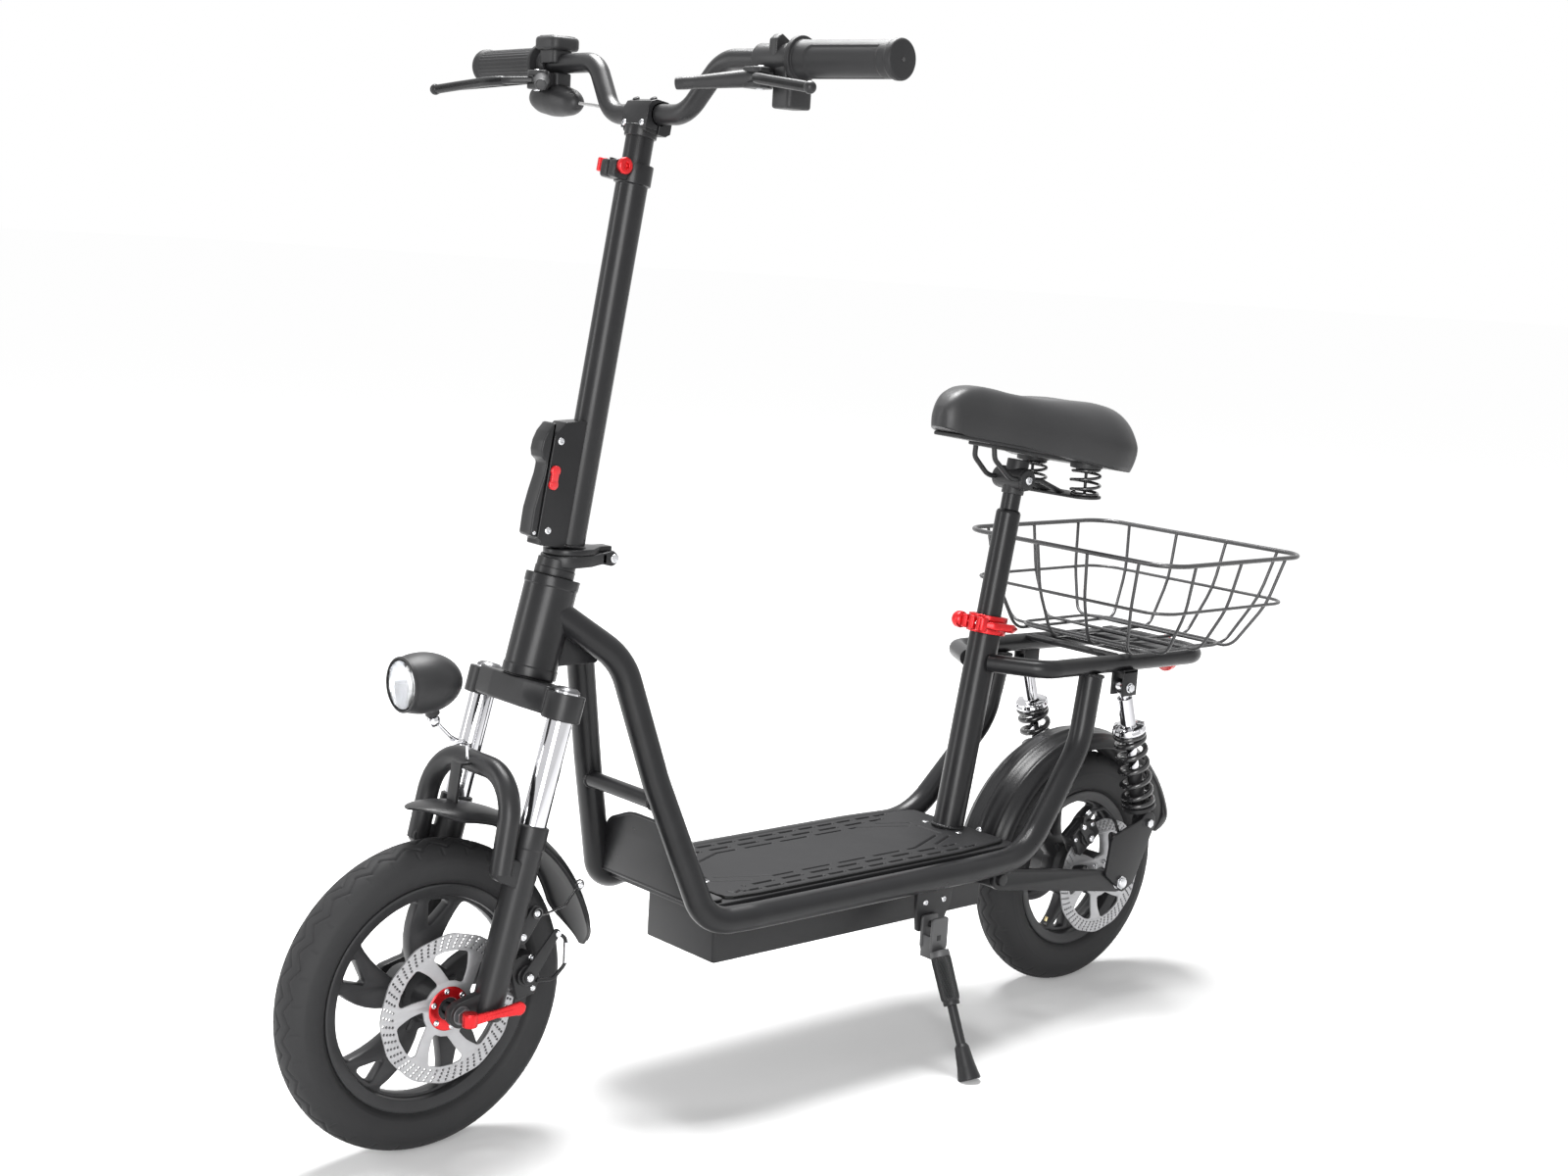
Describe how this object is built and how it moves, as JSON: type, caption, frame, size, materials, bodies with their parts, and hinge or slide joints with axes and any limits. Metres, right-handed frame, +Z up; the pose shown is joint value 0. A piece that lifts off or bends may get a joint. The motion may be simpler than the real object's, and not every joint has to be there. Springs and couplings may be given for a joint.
{
  "type": "electric scooter",
  "caption": "Folding electric scooter with a sprung saddle, wire basket, telescopic stem, front fork, twin rear shocks and a kickstand.",
  "frame": {"origin": "centre of the footprint, on the ground under the deck", "axes": "+Z up, -Y forward toward the front wheel, +X to the rider's left"},
  "size_m": [0.7288, 1.4679, 1.2205],
  "materials": {
    "frame_paint": "satin black paint",
    "cast_black": "black coated castings",
    "moulded_black": "moulded black",
    "chrome": "bright chrome",
    "steel": "ground steel",
    "red_metal": "red anodised",
    "red_plastic": "red moulded",
    "tyre_rubber": "matt black",
    "grip_rubber": "matt black",
    "mat_rubber": "dark grey",
    "vinyl": "smooth black vinyl",
    "lens": "clear",
    "spring_paint": "gloss black"
  },
  "bodies": {
    "frame": {"head_tube": "frame_paint", "frame_rail_left": "frame_paint", "frame_rail_right": "frame_paint", "frame_crossbar": "frame_paint", "nose_cover": "frame_paint", "battery_box": "cast_black", "deck_mat": "mat_rubber", "seat_tube": "frame_paint", "rear_rack": "frame_paint", "basket": "frame_paint", "rack_reflector": "red_plastic", "kickstand_bracket": "cast_black", "seat_collar": "red_metal"},
    "steering": {"fork_crown": "cast_black", "stanchion_left": "chrome", "stanchion_right": "chrome", "stem_base": "cast_black"},
    "fork_slider": {"fork_lowers": "cast_black", "front_caliper": "cast_black", "front_fender": "moulded_black", "headlight_bracket": "chrome"},
    "front_wheel": {"front_tyre": "tyre_rubber", "front_rim": "cast_black", "front_rotor": "steel"},
    "front_lever": {"front_lever": "red_metal"},
    "headlight": {"headlight_shell": "moulded_black", "headlight_lens": "lens"},
    "stem": {"stem_tube": "frame_paint", "stem_bolt": "red_metal"},
    "latch_lever": {"latch_lever": "cast_black"},
    "latch_button": {"latch_button": "red_plastic"},
    "stem_lever": {"stem_lever": "red_metal"},
    "bars": {"upper_tube": "frame_paint", "handlebar": "cast_black", "grip_left": "grip_rubber", "switch_housing": "moulded_black", "display_housing": "moulded_black"},
    "throttle": {"throttle_grip": "grip_rubber"},
    "brake_lever_left": {"brake_lever_left": "cast_black"},
    "brake_lever_right": {"brake_lever_right": "cast_black"},
    "seat": {"seat_post": "frame_paint", "saddle_frame": "cast_black", "saddle_pad": "vinyl", "saddle_spring_left": "steel", "saddle_spring_right": "steel"},
    "seat_lever": {"seat_lever": "red_metal"},
    "swing": {"swingarm": "frame_paint", "rear_fender": "moulded_black", "rear_caliper": "cast_black"},
    "rear_wheel": {"rear_tyre": "tyre_rubber", "rear_rim": "cast_black", "rear_rotor": "steel"},
    "shock_left_body": {"shock_left_body": "cast_black", "shock_left_spring": "spring_paint"},
    "shock_left_shaft": {"shock_left_shaft": "chrome"},
    "shock_right_body": {"shock_right_body": "cast_black", "shock_right_spring": "spring_paint"},
    "shock_right_shaft": {"shock_right_shaft": "chrome"},
    "stand_arm": {"kickstand_arm": "cast_black"},
    "stand_foot": {"kickstand_foot": "cast_black"}
  },
  "joints": [
    {"name": "steering", "type": "hinge", "parent": "frame", "child": "steering", "pos_m": [0, -0.4362, 0.513], "axis": [0, 0.2504, 0.9682], "range_deg": [-45, 45]},
    {"name": "fork_travel", "type": "slide", "parent": "steering", "child": "fork_slider", "axis": [0, 0.2504, 0.9682], "range_m": [0, 0.04], "stiffness_N_per_m": 6000, "springref_m": -0.045},
    {"name": "front_wheel", "type": "hinge", "parent": "fork_slider", "child": "front_wheel", "pos_m": [0, -0.559, 0.175], "axis": [1, 0, 0], "continuous": true},
    {"name": "front_lever", "type": "hinge", "parent": "fork_slider", "child": "front_lever", "pos_m": [0.0955, -0.559, 0.175], "axis": [0, 0, -1], "range_deg": [0, 120]},
    {"name": "headlight_tilt", "type": "hinge", "parent": "fork_slider", "child": "headlight", "pos_m": [0, -0.555, 0.4805], "axis": [1, 0, 0], "range_deg": [-12, 12]},
    {"name": "stem_fold", "type": "hinge", "parent": "steering", "child": "stem", "pos_m": [0, -0.335, 0.646], "axis": [-1, 0, 0], "range_deg": [0, 90]},
    {"name": "latch_lever", "type": "hinge", "parent": "stem", "child": "latch_lever", "pos_m": [0, -0.44259, 0.67945], "axis": [1, 0, 0], "range_deg": [0, 60]},
    {"name": "latch_button", "type": "slide", "parent": "stem", "child": "latch_button", "axis": [-1, 0, 0], "range_m": [0, 0.003], "stiffness_N_per_m": 400, "springref_m": -0.002},
    {"name": "stem_lever", "type": "hinge", "parent": "stem", "child": "stem_lever", "pos_m": [-0.0222, -0.34802, 1.07187], "axis": [0, 0.1599, 0.9871], "range_deg": [0, 110]},
    {"name": "telescope", "type": "slide", "parent": "stem", "child": "bars", "axis": [0, -0.1599, -0.9871], "range_m": [-0.12, 0]},
    {"name": "throttle", "type": "hinge", "parent": "bars", "child": "throttle", "pos_m": [-0.3, -0.28105, 1.19026], "axis": [-0.997, 0.0769, -0.0044], "range_deg": [0, 70], "stiffness_Nm_per_rad": 0.3, "springref_deg": -22.92},
    {"name": "brake_lever_left", "type": "hinge", "parent": "bars", "child": "brake_lever_left", "pos_m": [0.197, -0.316, 1.17], "axis": [0, 0, 1], "range_deg": [0, 20], "stiffness_Nm_per_rad": 1.5, "springref_deg": -11.46},
    {"name": "brake_lever_right", "type": "hinge", "parent": "bars", "child": "brake_lever_right", "pos_m": [-0.197, -0.316, 1.17], "axis": [0, 0, -1], "range_deg": [0, 20], "stiffness_Nm_per_rad": 1.5, "springref_deg": -11.46},
    {"name": "seat_height", "type": "slide", "parent": "frame", "child": "seat", "axis": [0, 0.1666, 0.986], "range_m": [-0.1, 0.04]},
    {"name": "seat_lever", "type": "hinge", "parent": "frame", "child": "seat_lever", "pos_m": [0.0215, 0.26543, 0.5295], "axis": [0, -0.1666, -0.986], "range_deg": [0, 110]},
    {"name": "swingarm", "type": "hinge", "parent": "frame", "child": "swing", "pos_m": [0, 0.256, 0.205], "axis": [1, 0, 0], "range_deg": [0, 7], "stiffness_Nm_per_rad": 300, "springref_deg": -17.19},
    {"name": "rear_wheel", "type": "hinge", "parent": "swing", "child": "rear_wheel", "pos_m": [0, 0.496, 0.165], "axis": [1, 0, 0], "continuous": true},
    {"name": "shock_left_eye", "type": "hinge", "parent": "swing", "child": "shock_left_body", "pos_m": [0.09, 0.545, 0.243], "axis": [1, 0, 0], "range_deg": [-5.6, 0]},
    {"name": "shock_left_travel", "type": "slide", "parent": "shock_left_body", "child": "shock_left_shaft", "axis": [0, -0.309, 0.9511], "range_m": [-0.0355, 0], "deforming": ["shock_left_spring"]},
    {"name": "shock_right_eye", "type": "hinge", "parent": "swing", "child": "shock_right_body", "pos_m": [-0.09, 0.545, 0.243], "axis": [1, 0, 0], "range_deg": [-5.6, 0]},
    {"name": "shock_right_travel", "type": "slide", "parent": "shock_right_body", "child": "shock_right_shaft", "axis": [0, -0.309, 0.9511], "range_m": [-0.0355, 0], "deforming": ["shock_right_spring"]},
    {"name": "kickstand", "type": "hinge", "parent": "frame", "child": "stand_arm", "pos_m": [0.125, 0.107, 0.176], "axis": [1, 0, 0], "range_deg": [0, 85]},
    {"name": "stand_length", "type": "slide", "parent": "stand_arm", "child": "stand_foot", "axis": [-0.447, 0.0305, 0.894], "range_m": [0, 0.03]}
  ],
  "couplings": [
    {"joint": "shock_left_eye", "follows": "swingarm", "ratio": -0.78073},
    {"joint": "shock_right_eye", "follows": "swingarm", "ratio": -0.78073},
    {"joint": "shock_left_travel", "follows": "swingarm", "m_per_rad": -0.28826},
    {"joint": "shock_right_travel", "follows": "swingarm", "m_per_rad": -0.28826}
  ]
}
